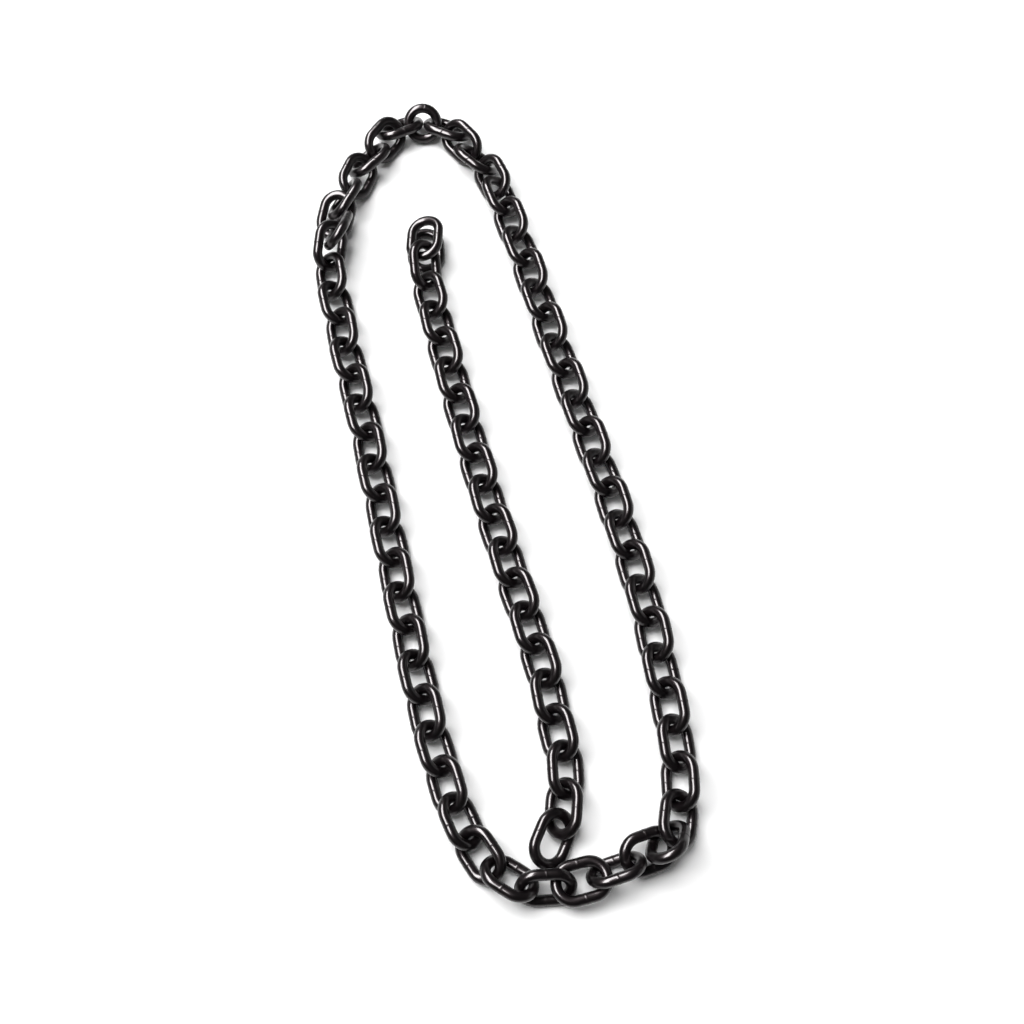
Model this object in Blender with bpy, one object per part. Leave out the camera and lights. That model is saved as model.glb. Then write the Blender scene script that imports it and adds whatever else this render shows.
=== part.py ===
"""One length of short link chain laid out on a flat floor.

A long closed loop of chain and a tail that runs up its middle. Every link is a
round bar bent to a racetrack shape and rolled to one side, so that it rests on
one leg. In the straight strands two neighbouring links share a node, drawn
tight and joined where their crowns bear, because a part holds sixty nodes. The
links of the bends lie loose, each in a node of its own, and a small round ring
of the same bar closes the loop at its far end.
"""
import bpy
import bmesh
import math
from mathutils import Matrix, Vector
from mathutils.bvhtree import BVHTree
from mathutils.geometry import interpolate_bezier

BAR = 0.010
INNER_LENGTH = 0.0342
OUTER_WIDTH = 0.0400
RING_INNER = 0.0220
BAR_SIDES = 8
REST_ROLL = 40.0
BEND = math.pi
BEND_STEPS = 5
RING_STEPS = 16
WELD = 0.00001

SHARE_BITE = 0.0002
SEAT_STEPS = 22
NEAREST = 2.4 * BAR
FARTHEST = 3.9 * BAR
CURVE_STEPS = 24
SHARP_ANGLE = 60.0
TO_RADIANS = math.pi / 180.0
MM = 0.001

# A loose link of a bend: X and Y of its middle and how far it is held off the
# floor, in millimetres, then its heading, roll and pitch in degrees.
NEAR_BEND = (
    (25, -354, 0, 3, 50, -3),
    (56, -349, 11, 14, -4, 0),
    (86, -340, 0, 17, -56, 7),
    (115, -325, 4, 19, 20, -9),
    (131, -318, 1, 71, -40, -46),
    (142, -298, 3, 79, 30, -14),
)
NEAR_CORNER = (
    (-6, -346, 4, 328, -40, 5),
    (-31, -326, 1, 304, 31, 2),
)
FAR_ARCH = (
    (-17, 384, 0, 114, -42, -1),
    (-35, 408, 0, 138, 42, 2),
    (-50, 430, 0, 131, -49, 3),
    (-66, 450, 0, 156, 34, -1),
    (-119, 452, 0, 205, 34, 3),
    (-134, 434, 1, 234, -45, -1),
    (-151, 409, 0, 224, 38, -4),
    (-162, 387, 2, 249, -38, 0),
    (-175, 356, 0, 241, 53, -5),
    (-184, 339, 0, 254, 0, -21),
    (-178, 307, 11, 262, 55, 27),
    (-187, 293, 4, 261, -49, -22),
)
TOP_RING = (
    (-93, 456, 1, 179, -41, 2),
)
TAIL_END = (
    (-88, 298, 0, 274, 0, 0),
    (-88, 299, 17, 267, 18, 2),
    (-87, 268, 5, 275, -43, -20),
)
TAIL_FOOT = (
    (32, -313, 1, 246, -31, 1),
)

# A strand: the points that its middle line runs through, in millimetres, its
# number of links, how far apart they lie, in millimetres, the rolls that they
# take in turn and how far they swing off the line with them, in degrees.
RIGHT_STRAND = (
    ((146, -265), (145, -231), (138, -181), (124, -99), (99, 0), (70, 98), (41, 197),
     (13, 295), (-8, 360)),
    20, 34.0, (-44.0, 35.0), 1.0)
LEFT_STRAND = (
    ((-48, -297), (-61, -265), (-80, -200), (-103, -100), (-125, 0),
     (-147, 97), (-164, 162), (-179, 228), (-186, 262)),
    18, 33.9, (40.0, -39.0), 1.6)
MIDDLE_STRAND = (
    ((-82, 237), (-66, 171), (-45, 89), (-23, 7), (1, -75), (25, -155),
     (39, -221), (45, -255), (42, -289)),
    17, 33.8, (40.0, -38.0), 1.6)


def clear_scene():
    """Start from an empty file."""
    for thing in list(bpy.data.objects):
        bpy.data.objects.remove(thing, do_unlink=True)


def new_collection(name):
    """A collection linked to the scene."""
    collection = bpy.data.collections.new(name)
    bpy.context.scene.collection.children.link(collection)
    return collection


def steel():
    """Black oiled steel, the one material of the chain."""
    material = bpy.data.materials.new("black_steel")
    material.use_nodes = True
    shader = material.node_tree.nodes["Principled BSDF"]
    shader.inputs["Base Color"].default_value = (0.018, 0.016, 0.017, 1.0)
    shader.inputs["Roughness"].default_value = 0.28
    shader.inputs["Metallic"].default_value = 1.0
    material.diffuse_color = (0.05, 0.05, 0.055, 1.0)
    return material


def section_radius():
    """Corner radius of the faceted bar, between its inner and outer circles."""
    return BAR / 2.0 / math.sqrt(math.cos(math.pi / BAR_SIDES))


def link_mesh():
    """One link: the bar's section spun round one crown, drawn along a leg,
    spun round the other crown and closed on itself. The section is turned so
    that a link at its resting roll stands on flat faces."""
    shape = bmesh.new()
    bend_radius = (OUTER_WIDTH - BAR) / 2.0
    apex_loss = bend_radius * (1.0 - math.cos(BEND / BEND_STEPS / 2.0))
    half_leg = (INNER_LENGTH + 2.0 * BAR - OUTER_WIDTH) / 2.0 + apex_loss
    flat_turn = (2.0 * math.pi / BAR_SIDES) - REST_ROLL * TO_RADIANS
    section_turn = (Matrix.Rotation(math.pi / 2.0, 4, "Y")
                    @ Matrix.Rotation(math.pi / BAR_SIDES + flat_turn, 4, "Z"))
    start = Matrix.Translation((half_leg, -bend_radius, 0.0)) @ section_turn
    bmesh.ops.create_circle(shape, cap_ends=False, segments=BAR_SIDES,
                            radius=section_radius(), matrix=start)
    open_edge = list(shape.edges)
    for end in (1.0, -1.0):
        swept = bmesh.ops.spin(shape, geom=open_edge, cent=(end * half_leg, 0.0, 0.0),
                               axis=(0.0, 0.0, 1.0), angle=BEND, steps=BEND_STEPS)
        crown_end = [item for item in swept["geom_last"] if isinstance(item, bmesh.types.BMEdge)]
        drawn = bmesh.ops.extrude_edge_only(shape, edges=crown_end)["geom"]
        moved = [item for item in drawn if isinstance(item, bmesh.types.BMVert)]
        bmesh.ops.translate(shape, verts=moved, vec=(-end * 2.0 * half_leg, 0.0, 0.0))
        open_edge = [item for item in drawn if isinstance(item, bmesh.types.BMEdge)]
    bmesh.ops.remove_doubles(shape, verts=shape.verts, dist=WELD)
    bmesh.ops.recalc_face_normals(shape, faces=shape.faces)
    mesh = bpy.data.meshes.new("link")
    shape.to_mesh(mesh)
    shape.free()
    return mesh


def ring_mesh():
    """The round ring: the bar's section spun once round."""
    shape = bmesh.new()
    start = (Matrix.Translation(((RING_INNER + BAR) / 2.0, 0.0, 0.0))
             @ Matrix.Rotation(math.pi / 2.0, 4, "X"))
    bmesh.ops.create_circle(shape, cap_ends=False, segments=BAR_SIDES,
                            radius=section_radius(), matrix=start)
    bmesh.ops.spin(shape, geom=list(shape.edges), cent=(0.0, 0.0, 0.0),
                   axis=(0.0, 0.0, 1.0), angle=2.0 * math.pi, steps=RING_STEPS)
    bmesh.ops.remove_doubles(shape, verts=shape.verts, dist=WELD)
    bmesh.ops.recalc_face_normals(shape, faces=shape.faces)
    mesh = bpy.data.meshes.new("ring")
    shape.to_mesh(mesh)
    shape.free()
    return mesh


def attitude(heading, roll, pitch=0.0):
    """Turn of a link that runs along a heading, pitched up and rolled."""
    return (Matrix.Rotation(heading * TO_RADIANS, 4, "Z")
            @ Matrix.Rotation(-pitch * TO_RADIANS, 4, "Y")
            @ Matrix.Rotation(roll * TO_RADIANS, 4, "X"))


def standing(mesh, turn, place, lift=0.0):
    """Matrix of a link whose lowest point is a lift over the floor."""
    lowest = min((turn @ vertex.co).z for vertex in mesh.vertices)
    return Matrix.Translation(Vector((place[0], place[1], lift - lowest))) @ turn


def dropped(mesh, links):
    """Matrices of links that lie loose."""
    return [standing(mesh, attitude(heading, roll, pitch), (across * MM, along * MM), lift * MM)
            for across, along, lift, heading, roll, pitch in links]


def route(points):
    """Smooth line through points: places with the length run so far."""
    spots = [Vector((x * MM, y * MM, 0.0)) for x, y in points]
    pulls = [(after - before) / 6.0
             for before, after in zip([spots[0]] + spots[:-1], spots[1:] + [spots[-1]])]
    line = [spots[0]]
    for index in range(len(spots) - 1):
        first, last = spots[index], spots[index + 1]
        line += interpolate_bezier(first, first + pulls[index], last - pulls[index + 1], last,
                                   CURVE_STEPS)[1:]
    run = [0.0]
    for before, after in zip(line, line[1:]):
        run.append(run[-1] + (after - before).length)
    return line, run


def along(line, run, distance):
    """Place and heading at a distance along a line."""
    index = 1
    while index < len(run) - 1 and run[index] < distance:
        index += 1
    span = line[index] - line[index - 1]
    part = (distance - run[index - 1]) / (run[index] - run[index - 1])
    return line[index - 1] + span * part, math.degrees(math.atan2(span.y, span.x))


def tree_of(mesh, matrix):
    """Search tree of a mesh at its place."""
    points = [matrix @ vertex.co for vertex in mesh.vertices]
    faces = [tuple(face.vertices) for face in mesh.polygons]
    return BVHTree.FromPolygons(points, faces)


def seat(mesh, before, line, run, start, roll, lean):
    """Distance from a start at which a link bears on the one before."""
    tree = tree_of(mesh, before)
    near = NEAREST
    far = FARTHEST
    for _ in range(SEAT_STEPS):
        middle = (near + far) / 2.0
        spot, heading = along(line, run, start + middle)
        tried = standing(mesh, attitude(heading + lean, roll), spot)
        if tree.overlap(tree_of(mesh, tried)):
            far = middle
        else:
            near = middle
    return near


def lay_strand(mesh, strand):
    """Matrices of the links of a strand. Every second link is drawn tight
    against the one before, whose node it shares."""
    points, count, apart, rolls, swing = strand
    line, run = route(points)
    matrices = []
    for index in range(count):
        roll = rolls[index % 2]
        lean = math.copysign(swing, roll)
        distance = index * apart * MM
        if index % 2 == 1:
            distance -= apart * MM
            distance += SHARE_BITE + seat(mesh, matrices[-1], line, run, distance, roll, lean)
        spot, heading = along(line, run, distance)
        matrices.append(standing(mesh, attitude(heading + lean, roll), spot))
    return matrices


def placed_copy(mesh, matrix):
    """A link's own mesh, moved to its place."""
    copy = mesh.copy()
    copy.transform(matrix)
    return copy


def join_pair(name, mesh, matrices, cutters):
    """Mesh of neighbouring links, made one where their crowns bear."""
    whole = bpy.data.objects.new(name, placed_copy(mesh, matrices[0]))
    cutters.objects.link(whole)
    for index, matrix in enumerate(matrices[1:]):
        other = bpy.data.objects.new(name + "_other", placed_copy(mesh, matrix))
        cutters.objects.link(other)
        union = whole.modifiers.new("join_" + str(index), "BOOLEAN")
        union.operation = "UNION"
        union.solver = "EXACT"
        union.object = other
    bpy.context.view_layer.update()
    graph = bpy.context.evaluated_depsgraph_get()
    result = bpy.data.meshes.new_from_object(whole.evaluated_get(graph))
    for thing in [item for item in cutters.objects]:
        bpy.data.objects.remove(thing, do_unlink=True)
    return result


def shade(mesh):
    """Round bar: smooth faces with the hard corners kept."""
    for face in mesh.polygons:
        face.use_smooth = True
    mesh.set_sharp_from_angle(angle=SHARP_ANGLE * TO_RADIANS)


def add_nodes(run_name, mesh, matrices, share, material, collection, cutters):
    """Nodes of one run, each with as many neighbouring links as share it."""
    for first in range(0, len(matrices), share):
        pair = matrices[first:first + share]
        numbers = "_".join("%02d" % (first + offset + 1) for offset in range(len(pair)))
        name = run_name + "_" + numbers
        middle = pair[0].translation.copy()
        local = [Matrix.Translation(-middle) @ matrix for matrix in pair]
        result = join_pair(name, mesh, local, cutters)
        result.name = name
        result.materials.clear()
        result.materials.append(material)
        shade(result)
        node = bpy.data.objects.new(name, result)
        node.location = middle
        collection.objects.link(node)


def centre_on_floor(runs):
    """Shift that puts the middle of the whole outline over the origin."""
    corners = [matrix @ vertex.co
               for _, mesh, matrices, _ in runs for matrix in matrices for vertex in mesh.vertices]
    spans = [(min(point[axis] for point in corners), max(point[axis] for point in corners))
             for axis in range(2)]
    return Matrix.Translation((-sum(spans[0]) / 2.0, -sum(spans[1]) / 2.0, 0.0))


def lay_chain(link, ring):
    """Every run of the chain: its name, its shape, its places and how many
    links share a node."""
    return (
        ("near_bend_link", link, dropped(link, NEAR_BEND), 1),
        ("right_strand_links", link, lay_strand(link, RIGHT_STRAND), 2),
        ("far_arch_link", link, dropped(link, FAR_ARCH), 1),
        ("far_arch_ring", ring, dropped(ring, TOP_RING), 1),
        ("left_strand_links", link, lay_strand(link, LEFT_STRAND), 2),
        ("near_corner_link", link, dropped(link, NEAR_CORNER), 1),
        ("tail_end_link", link, dropped(link, TAIL_END), 1),
        ("tail_strand_links", link, lay_strand(link, MIDDLE_STRAND), 2),
        ("tail_foot_link", link, dropped(link, TAIL_FOOT), 1),
    )


def build():
    """Lay the loop and its tail."""
    clear_scene()
    collection = new_collection("laid_out_chain")
    cutters = new_collection("construction")
    cutters.hide_render = True
    material = steel()
    runs = lay_chain(link_mesh(), ring_mesh())
    shift = centre_on_floor(runs)
    for name, mesh, matrices, share in runs:
        moved = [shift @ matrix for matrix in matrices]
        add_nodes(name, mesh, moved, share, material, collection, cutters)


build()
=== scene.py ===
"""Looks of a length of glossy black short link chain laid out on a floor."""
import math

import bpy
from mathutils import Matrix, Vector, noise
from mathutils.geometry import interpolate_bezier

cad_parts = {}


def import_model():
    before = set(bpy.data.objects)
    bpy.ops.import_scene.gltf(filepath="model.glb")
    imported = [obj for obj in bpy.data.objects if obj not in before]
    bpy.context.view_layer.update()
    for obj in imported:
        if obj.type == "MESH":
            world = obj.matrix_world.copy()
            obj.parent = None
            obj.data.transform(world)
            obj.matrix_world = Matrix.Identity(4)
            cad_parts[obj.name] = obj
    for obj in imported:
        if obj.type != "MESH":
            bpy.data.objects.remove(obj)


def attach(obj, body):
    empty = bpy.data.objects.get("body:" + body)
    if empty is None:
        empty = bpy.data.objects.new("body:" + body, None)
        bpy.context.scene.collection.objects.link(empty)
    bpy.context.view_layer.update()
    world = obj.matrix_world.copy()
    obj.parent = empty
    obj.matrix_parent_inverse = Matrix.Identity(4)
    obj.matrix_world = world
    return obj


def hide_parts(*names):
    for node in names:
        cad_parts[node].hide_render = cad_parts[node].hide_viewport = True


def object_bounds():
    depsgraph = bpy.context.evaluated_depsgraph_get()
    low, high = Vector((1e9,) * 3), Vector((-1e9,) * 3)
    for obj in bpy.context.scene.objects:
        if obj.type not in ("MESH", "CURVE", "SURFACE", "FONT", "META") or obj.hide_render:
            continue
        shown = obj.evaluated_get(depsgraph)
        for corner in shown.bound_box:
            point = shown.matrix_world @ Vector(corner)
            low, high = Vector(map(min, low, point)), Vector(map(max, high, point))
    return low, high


# A link is dressed 0.8 mm longer inside than its solid, so that the strands' round
# bars, which are spaced evenly here, stay clear of each other.
BAR = 0.0100
INNER_LENGTH = 0.0350
OUTER_WIDTH = 0.0400
RING_INNER = 0.0220
HALF_LEG = (INNER_LENGTH + 2.0 * BAR - OUTER_WIDTH) / 2.0
BEND_RADIUS = (OUTER_WIDTH - BAR) / 2.0
RING_RADIUS = (RING_INNER + BAR) / 2.0
CURVE_STEPS = 24
TO_RADIANS = math.pi / 180.0
MM = 0.001

# How finely a link is drawn. The stops on a leg are shares of its half length,
# and those on the ring are degrees from its weld; both crowd in on the weld.
SECTION_SIDES = 32
CROWN_STEPS = 22
LEG_STOPS = (-1.0, -0.62, -0.34, -0.17, -0.105, -0.075, -0.05, -0.028, -0.012, 0.0,
             0.012, 0.028, 0.05, 0.075, 0.105, 0.17, 0.34, 0.62, 1.0)
RING_STOPS = (0.0, 0.35, 0.7, 1.1, 1.6, 2.3, 3.3, 5.0, 8.0) + tuple(range(12, 181, 6))
RING_SEAM = -98.0

# The link shapes that take turns along the chain, and the wobble of their forged
# surface. Each shape reads the noise further along by a step.
LINK_SHAPES = 6
WOBBLE = 0.00006
WOBBLE_SCALE = 55.0
WOBBLE_STEP = (3.7, 1.3)

# A weld: its ridge, the groove on its middle and its dulled band, then how large
# the smallest weld is and how much each of the next sizes adds.
RIDGE_HEIGHT = 0.00022
RIDGE_REACH = 0.00055
GROOVE_DEPTH = 0.00034
GROOVE_REACH = 0.00018
BURN_REACH = 0.00042
WELD_LEAST = 0.7
WELD_STEP = 0.15
WELD_SIZES = 4

# The places below, of loose links and of the strands' points alike, weren't chosen
# by hand. A fitting program matched the links to the photo and kept them clear of
# each other, and its results were rounded to whole millimetres and degrees.
#
# A loose link of a bend: X and Y of its middle and how far it is held off the
# floor, in millimetres, then its heading, roll and pitch in degrees.
NEAR_BEND = (
    (25, -354, 0, 3, 50, -3),
    (56, -349, 11, 14, -4, 0),
    (86, -340, 0, 17, -56, 7),
    (115, -325, 4, 19, 20, -9),
    (131, -318, 1, 71, -40, -46),
    (142, -298, 3, 79, 30, -14),
)
NEAR_CORNER = (
    (-6, -346, 4, 328, -40, 5),
    (-31, -326, 1, 304, 31, 2),
)
FAR_ARCH = (
    (-17, 384, 0, 114, -42, -1),
    (-35, 408, 0, 138, 42, 2),
    (-50, 430, 0, 131, -49, 3),
    (-66, 450, 0, 156, 34, -1),
    (-119, 452, 0, 205, 34, 3),
    (-134, 434, 1, 234, -45, -1),
    (-151, 409, 0, 224, 38, -4),
    (-162, 387, 2, 249, -38, 0),
    (-175, 356, 0, 241, 53, -5),
    (-184, 339, 0, 254, 0, -21),
    (-178, 307, 11, 262, 55, 27),
    (-187, 293, 4, 261, -49, -22),
)
TOP_RING = (
    (-93, 456, 1, 179, -41, 2),
)
TAIL_END = (
    (-88, 298, 0, 274, 0, 0),
    (-88, 299, 17, 267, 18, 2),
    (-87, 268, 5, 275, -43, -20),
)
TAIL_FOOT = (
    (32, -313, 1, 246, -31, 1),
)

# A strand: the points that its middle line runs through, in millimetres, its
# number of links, how far apart they lie, in millimetres, the rolls that they
# take in turn and how far they swing off the line with them, in degrees.
RIGHT_STRAND = (
    ((146, -265), (145, -231), (138, -181), (124, -99), (99, 0), (70, 98), (41, 197),
     (13, 295), (-8, 360)),
    20, 34.0, (-44.0, 35.0), 1.0)
LEFT_STRAND = (
    ((-48, -297), (-61, -265), (-80, -200), (-103, -100), (-125, 0),
     (-147, 97), (-164, 162), (-179, 228), (-186, 262)),
    18, 33.9, (40.0, -39.0), 1.6)
MIDDLE_STRAND = (
    ((-82, 237), (-66, 171), (-45, 89), (-23, 7), (1, -75), (25, -155),
     (39, -221), (45, -255), (42, -289)),
    17, 33.8, (40.0, -38.0), 1.6)

# Camera, as the same program fitted it: how far it stands from the layout's own
# origin, which it looks at, and its angles in degrees, then its focal length and
# the frame's width in pixels, its sensor's width in millimetres and the nearest
# distance that it draws, in metres.
CAMERA_DISTANCE = 1.1996
CAMERA_ELEVATION = 68.21
CAMERA_ROLL = 0.70
FOCAL_PIXELS = 1227.5
FRAME_PIXELS = 1024.0
SENSOR = 36.0
CLIP_START = 0.01

# Lamps: name, place, the point aimed at, width, height and power, then whether
# the lamp shows in the steel's shine and whether it lights the floor.
LAMPS = (
    ("key", (-1.75, 1.20, 4.40), (0.0, 1.20, 0.0), 3.0, 5.2, 440.0, False, True),
    ("shine", (-1.05, 0.95, 2.10), (0.0, 0.95, 0.0), 3.2, 1.05, 360.0, True, False),
    ("overhead", (0.2, -0.1, 2.6), (0.0, 0.0, 0.0), 3.2, 3.2, 7.0, False, True),
    ("glow", (2.40, 0.30, 0.75), (0.0, 0.0, 0.0), 3.4, 0.5, 7.0, True, False),
)

# The room's own light.
ROOM_TONE = (0.10, 0.10, 0.10, 1.0)

# The white floor.
FLOOR_SIZE = 12.0
FLOOR_TONE = (0.90, 0.90, 0.90, 1.0)
FLOOR_ROUGHNESS = 0.9
FLOOR_SPECULAR = 0.1

# Steel: its tones, then its shine away from a weld and on one, and the roughness
# of the steel and of the clear coat.
DARK_TONE = (0.0006, 0.0005, 0.0006, 1.0)
LIGHT_TONE = (0.0034, 0.0021, 0.0026, 1.0)
BURNT_TONE = (0.0013, 0.0011, 0.0011, 1.0)
TONE_STOPS = (0.35, 0.75)
LACQUER_IOR = 1.5
STEEL_SPECULAR = 0.18
STEEL_TINT = (1.0, 0.84, 0.88, 1.0)
COAT_WEIGHTS = (0.50, 0.03)
STEEL_ROUGHNESS = (0.26, 0.38)
COAT_ROUGHNESS = (0.11, 0.19)
WELD_ROUGHNESS = 0.3

# Noises of the steel, each with its scale and detail, and the bumps, each with
# its strength and height.
PATCH_NOISE = (120.0, 4.0)
GRAIN_NOISE = (300.0, 3.0)
WAVE_NOISE = (110.0, 1.0)
DENTS = (0.10, 0.00020)
PORES = (0.30, 0.00003)


def link_line():
    """Points of a link's middle line with the direction it runs in and how far
    each lies from the weld on its leg."""
    line = []
    for end in (1.0, -1.0):
        for step in range(CROWN_STEPS):
            angle = math.pi * (step / CROWN_STEPS - 0.5)
            outward = Vector((math.cos(angle), math.sin(angle), 0.0)) * end
            middle = Vector((end * HALF_LEG, 0.0, 0.0))
            line.append((middle + outward * BEND_RADIUS, Vector((-outward.y, outward.x, 0.0)),
                         HALF_LEG))
        for stop in LEG_STOPS[:-1]:
            place = Vector((-end * stop * HALF_LEG, end * BEND_RADIUS, 0.0))
            line.append((place, Vector((-end, 0.0, 0.0)), abs(stop) * HALF_LEG))
    return line


def ring_line():
    """The same for the round ring, which has one weld."""
    line = []
    turns = [-stop for stop in RING_STOPS[:0:-1]] + list(RING_STOPS[:-1])
    for turn in turns:
        angle = (RING_SEAM + turn) * TO_RADIANS
        outward = Vector((math.cos(angle), math.sin(angle), 0.0))
        line.append((outward * RING_RADIUS, Vector((-outward.y, outward.x, 0.0)),
                     abs(turn) * TO_RADIANS * RING_RADIUS))
    return line


def weld_profile(distance):
    """Height of the weld's ridge, with the fine groove on its middle."""
    ridge = RIDGE_HEIGHT * math.exp(-(distance / RIDGE_REACH) ** 2)
    groove = GROOVE_DEPTH * math.exp(-(distance / GROOVE_REACH) ** 2)
    return ridge - groove


def bar_mesh(name, line, number):
    """The bar run round a closed line, with its welds and a slight wobble."""
    points = []
    up = Vector((0.0, 0.0, 1.0))
    offset = Vector((number * WOBBLE_STEP[0], number * WOBBLE_STEP[1], 0.0))
    for middle, direction, distance in line:
        across = up.cross(direction).normalized()
        weld = weld_profile(distance) * (WELD_LEAST + WELD_STEP * (number % WELD_SIZES))
        for side in range(SECTION_SIDES):
            angle = 2.0 * math.pi * side / SECTION_SIDES
            outward = across * math.cos(angle) + up * math.sin(angle)
            spot = middle + outward * (BAR / 2.0)
            wobble = noise.noise(spot * WOBBLE_SCALE + offset) * WOBBLE
            points.append(middle + outward * (BAR / 2.0 + weld + wobble))
    rings = len(line)
    faces = []
    for ring in range(rings):
        for side in range(SECTION_SIDES):
            after = (ring + 1) % rings
            beside = (side + 1) % SECTION_SIDES
            faces.append((ring * SECTION_SIDES + side, ring * SECTION_SIDES + beside,
                          after * SECTION_SIDES + beside, after * SECTION_SIDES + side))
    mesh = bpy.data.meshes.new(name)
    mesh.from_pydata(points, [], faces)
    mesh.update()
    mesh.shade_smooth()
    burn = mesh.attributes.new("weld", "FLOAT", "POINT")
    shades = [math.exp(-(distance / BURN_REACH) ** 2)
              for _, _, distance in line for _ in range(SECTION_SIDES)]
    burn.data.foreach_set("value", shades)
    return mesh


def attitude(heading, roll, pitch=0.0):
    """Turn of a link that runs along a heading, pitched up and rolled."""
    return (Matrix.Rotation(heading * TO_RADIANS, 4, "Z")
            @ Matrix.Rotation(-pitch * TO_RADIANS, 4, "Y")
            @ Matrix.Rotation(roll * TO_RADIANS, 4, "X"))


def standing(mesh, turn, place, lift=0.0):
    """Matrix of a link whose lowest point is a lift over the floor."""
    lowest = min((turn @ vertex.co).z for vertex in mesh.vertices)
    return Matrix.Translation(Vector((place[0], place[1], lift - lowest))) @ turn


def dropped(mesh, links):
    """Matrices of links that lie loose."""
    return [standing(mesh, attitude(heading, roll, pitch), (across * MM, along * MM), lift * MM)
            for across, along, lift, heading, roll, pitch in links]


def route(points):
    """Smooth line through points: places with the length run so far."""
    spots = [Vector((x * MM, y * MM, 0.0)) for x, y in points]
    pulls = [(after - before) / 6.0
             for before, after in zip([spots[0]] + spots[:-1], spots[1:] + [spots[-1]])]
    line = [spots[0]]
    for index in range(len(spots) - 1):
        first, last = spots[index], spots[index + 1]
        line += interpolate_bezier(first, first + pulls[index], last - pulls[index + 1], last,
                                   CURVE_STEPS)[1:]
    run = [0.0]
    for before, after in zip(line, line[1:]):
        run.append(run[-1] + (after - before).length)
    return line, run


def along(line, run, distance):
    """Place and heading at a distance along a line."""
    index = 1
    while index < len(run) - 1 and run[index] < distance:
        index += 1
    span = line[index] - line[index - 1]
    part = (distance - run[index - 1]) / (run[index] - run[index - 1])
    return line[index - 1] + span * part, math.degrees(math.atan2(span.y, span.x))


def lay_strand(mesh, strand):
    """Matrices of the links of a strand, evenly spaced along its line."""
    points, count, apart, rolls, swing = strand
    line, run = route(points)
    matrices = []
    for index in range(count):
        roll = rolls[index % 2]
        spot, heading = along(line, run, index * apart * MM)
        turn = attitude(heading + math.copysign(swing, roll), roll)
        matrices.append(standing(mesh, turn, spot))
    return matrices


def lay_chain(link, ring):
    """Every run of the chain: the start of its nodes' names, its pieces' places,
    how many share a node, and the half length and radius of their middle line."""
    link_size = (HALF_LEG, BEND_RADIUS)
    return (
        ("near_bend_link", dropped(link, NEAR_BEND), 1, link_size),
        ("right_strand_links", lay_strand(link, RIGHT_STRAND), 2, link_size),
        ("far_arch_link", dropped(link, FAR_ARCH), 1, link_size),
        ("far_arch_ring", dropped(ring, TOP_RING), 1, (0.0, RING_RADIUS)),
        ("left_strand_links", lay_strand(link, LEFT_STRAND), 2, link_size),
        ("near_corner_link", dropped(link, NEAR_CORNER), 1, link_size),
        ("tail_end_link", dropped(link, TAIL_END), 1, link_size),
        ("tail_strand_links", lay_strand(link, MIDDLE_STRAND), 2, link_size),
        ("tail_foot_link", dropped(link, TAIL_FOOT), 1, link_size),
    )


def node_name(start, index, count, share):
    """Name of the solid that a link of a run stands for."""
    first = index - index % share
    members = range(first, min(first + share, count))
    return start + "_" + "_".join("%02d" % (member + 1) for member in members)


def centring(runs, low, high):
    """Shift from the layout's own origin to the part's."""
    shift = []
    for axis in range(2):
        spans = []
        for _, matrices, _, (reach, radius) in runs:
            for matrix in matrices:
                turned = matrix.to_3x3()
                middle = matrix.translation[axis]
                flat = Vector((turned.col[0][axis], turned.col[1][axis])).length
                size = abs(turned.col[0][axis]) * reach + radius * flat + BAR / 2.0
                spans.append((middle - size, middle + size))
        first = min(span[0] for span in spans)
        last = max(span[1] for span in spans)
        shift.append((low[axis] + high[axis] - first - last) / 2.0)
    return Matrix.Translation((shift[0], shift[1], 0.0))


def noise_node(tree, place, setting):
    """A noise that sticks to the link, with its scale and detail."""
    node = tree.nodes.new("ShaderNodeTexNoise")
    node.inputs["Scale"].default_value = setting[0]
    node.inputs["Detail"].default_value = setting[1]
    tree.links.new(place.outputs["Object"], node.inputs["Vector"])
    return node


def range_node(tree, source, ends, target):
    """Stretch a factor between two ends and feed it to a socket."""
    node = tree.nodes.new("ShaderNodeMapRange")
    node.inputs["To Min"].default_value = ends[0]
    node.inputs["To Max"].default_value = ends[1]
    tree.links.new(source.outputs["Fac"], node.inputs["Value"])
    tree.links.new(node.outputs["Result"], target)


def bump_node(tree, source, setting):
    """A bump of a noise, with its strength and height."""
    node = tree.nodes.new("ShaderNodeBump")
    node.inputs["Strength"].default_value = setting[0]
    node.inputs["Distance"].default_value = setting[1]
    tree.links.new(source.outputs["Fac"], node.inputs["Height"])
    return node


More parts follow.
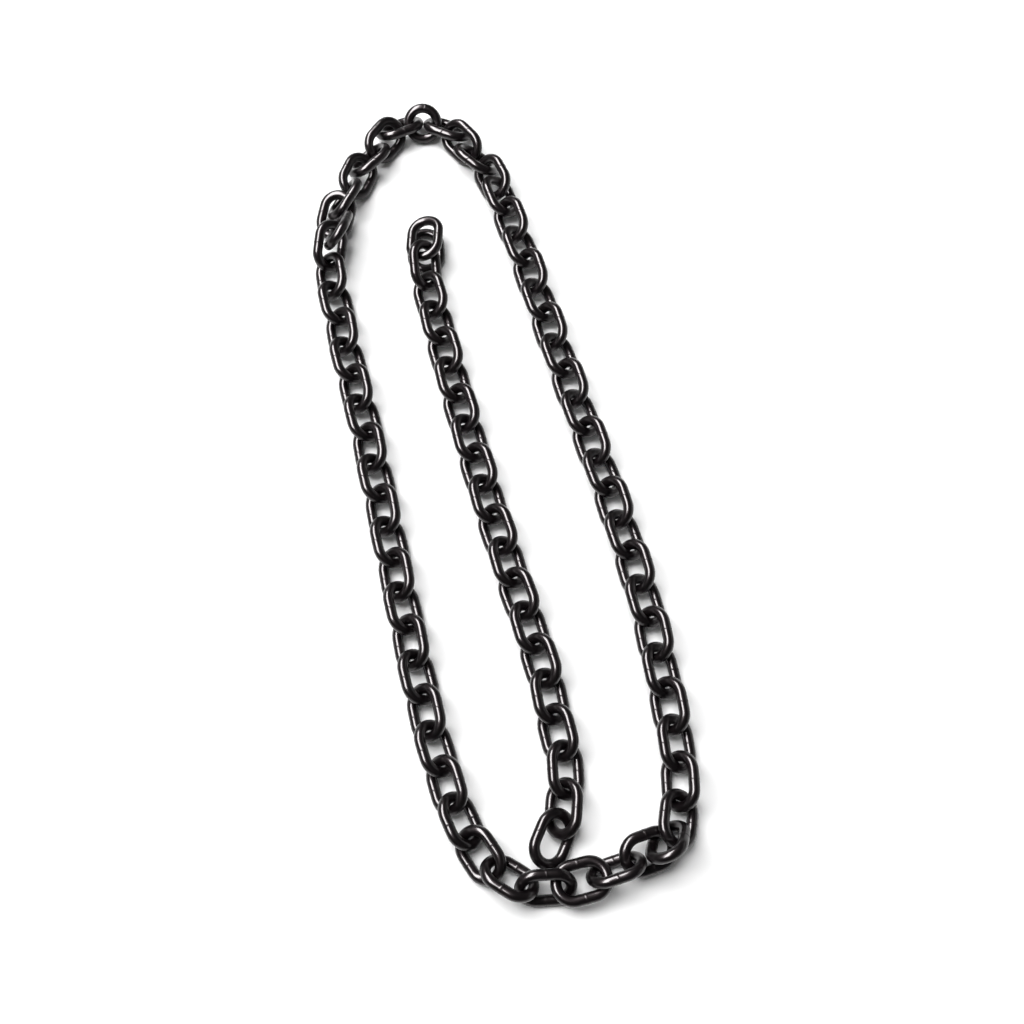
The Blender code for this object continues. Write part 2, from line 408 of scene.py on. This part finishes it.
def black_steel():
    """Glossy black lacquered steel: near black with a faint warm tinge, a thin
    clear shine over a soft one and a dull line at each weld."""
    material = bpy.data.materials.new("black_steel")
    material.use_nodes = True
    tree = material.node_tree
    shader = tree.nodes["Principled BSDF"]
    shader.inputs["Metallic"].default_value = 0.0
    shader.inputs["IOR"].default_value = LACQUER_IOR
    shader.inputs["Specular IOR Level"].default_value = STEEL_SPECULAR
    shader.inputs["Specular Tint"].default_value = STEEL_TINT
    shader.inputs["Coat IOR"].default_value = LACQUER_IOR
    place = tree.nodes.new("ShaderNodeTexCoord")
    patch = noise_node(tree, place, PATCH_NOISE)
    grain = noise_node(tree, place, GRAIN_NOISE)
    waves = noise_node(tree, place, WAVE_NOISE)
    seam = tree.nodes.new("ShaderNodeAttribute")
    seam.attribute_name = "weld"

    tone = tree.nodes.new("ShaderNodeValToRGB")
    tone.color_ramp.elements[0].position = TONE_STOPS[0]
    tone.color_ramp.elements[0].color = DARK_TONE
    tone.color_ramp.elements[1].position = TONE_STOPS[1]
    tone.color_ramp.elements[1].color = LIGHT_TONE
    tree.links.new(patch.outputs["Fac"], tone.inputs["Fac"])
    burnt = tree.nodes.new("ShaderNodeMix")
    burnt.data_type = "RGBA"
    burnt.inputs["B"].default_value = BURNT_TONE
    tree.links.new(seam.outputs["Fac"], burnt.inputs["Factor"])
    tree.links.new(tone.outputs["Color"], burnt.inputs["A"])
    tree.links.new(burnt.outputs["Result"], shader.inputs["Base Color"])

    dull = tree.nodes.new("ShaderNodeMath")
    dull.operation = "MULTIPLY_ADD"
    dull.inputs[1].default_value = WELD_ROUGHNESS
    tree.links.new(seam.outputs["Fac"], dull.inputs[0])
    range_node(tree, grain, STEEL_ROUGHNESS, dull.inputs[2])
    tree.links.new(dull.outputs["Value"], shader.inputs["Roughness"])
    range_node(tree, patch, COAT_ROUGHNESS, shader.inputs["Coat Roughness"])
    range_node(tree, seam, COAT_WEIGHTS, shader.inputs["Coat Weight"])

    dents = bump_node(tree, waves, DENTS)
    pores = bump_node(tree, grain, PORES)
    tree.links.new(dents.outputs["Normal"], pores.inputs["Normal"])
    tree.links.new(pores.outputs["Normal"], shader.inputs["Normal"])
    tree.links.new(dents.outputs["Normal"], shader.inputs["Coat Normal"])
    return material


def floor_material():
    """Plain white studio floor."""
    material = bpy.data.materials.new("studio_floor")
    material.use_nodes = True
    shader = material.node_tree.nodes["Principled BSDF"]
    shader.inputs["Base Color"].default_value = FLOOR_TONE
    shader.inputs["Roughness"].default_value = FLOOR_ROUGHNESS
    shader.inputs["Specular IOR Level"].default_value = FLOOR_SPECULAR
    return material


def add_floor():
    """A wide flat floor under the chain."""
    bpy.ops.mesh.primitive_plane_add(size=FLOOR_SIZE, location=(0.0, 0.0, 0.0))
    floor = bpy.context.active_object
    floor.name = "studio_floor"
    floor.data.materials.append(floor_material())


def add_area(name, place, aim, width, height, power):
    """A rectangular soft light aimed at a point."""
    light = bpy.data.lights.new(name, "AREA")
    light.shape = "RECTANGLE"
    light.size = width
    light.size_y = height
    light.energy = power
    lamp = bpy.data.objects.new(name, light)
    lamp.location = place
    lamp.rotation_euler = (Vector(aim) - Vector(place)).to_track_quat("-Z", "Y").to_euler()
    bpy.context.scene.collection.objects.link(lamp)
    return lamp


def add_world():
    """Dim room light."""
    world = bpy.data.worlds.new("room")
    bpy.context.scene.world = world
    world.use_nodes = True
    background = world.node_tree.nodes["Background"]
    background.inputs["Color"].default_value = ROOM_TONE
    background.inputs["Strength"].default_value = 1.0


def add_camera(shift):
    """Camera over the near end of the chain, looking down its length."""
    data = bpy.data.cameras.new("camera")
    data.sensor_width = SENSOR
    data.lens = FOCAL_PIXELS / FRAME_PIXELS * SENSOR
    data.clip_start = CLIP_START
    camera = bpy.data.objects.new("camera", data)
    tilt = CAMERA_ELEVATION * TO_RADIANS
    back = Vector((0.0, -math.cos(tilt), math.sin(tilt))) * CAMERA_DISTANCE
    turn = (Matrix.Rotation(math.pi / 2.0 - tilt, 4, "X")
            @ Matrix.Rotation(-CAMERA_ROLL * TO_RADIANS, 4, "Z"))
    camera.matrix_world = Matrix.Translation(shift.translation + back) @ turn
    bpy.context.scene.collection.objects.link(camera)
    bpy.context.scene.camera = camera


def add_lights():
    """A softbox behind on the left, a long strip that draws the shine along the
    bars, a little light from overhead and a low glow from the right."""
    for name, place, aim, width, height, power, in_shine, on_floor in LAMPS:
        lamp = add_area(name, place, aim, width, height, power)
        lamp.visible_glossy = in_shine
        lamp.visible_diffuse = on_floor


def build():
    """Dress the frame's links and set the stage."""
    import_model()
    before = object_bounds()
    material = black_steel()
    shapes = [bar_mesh("link_shape_%d" % (number + 1), link_line(), number)
              for number in range(LINK_SHAPES)]
    ring = bar_mesh("ring_shape", ring_line(), LINK_SHAPES)
    for shape in shapes + [ring]:
        shape.materials.append(material)
    runs = lay_chain(shapes[0], ring)
    shift = centring(runs, before[0], before[1])
    count = 0
    for start, matrices, share, _ in runs:
        for index, matrix in enumerate(matrices):
            mesh = ring if start == "far_arch_ring" else shapes[count % LINK_SHAPES]
            link = bpy.data.objects.new("%s_%02d_dressed" % (start.replace("_links", "_link"),
                                                             index + 1), mesh)
            link.matrix_world = shift @ matrix
            bpy.context.scene.collection.objects.link(link)
            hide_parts(node_name(start, index, len(matrices), share))
            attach(link, "root")
            count += 1
    add_floor()
    add_world()
    add_lights()
    add_camera(shift)
    bpy.context.scene.view_settings.view_transform = "Standard"


build()
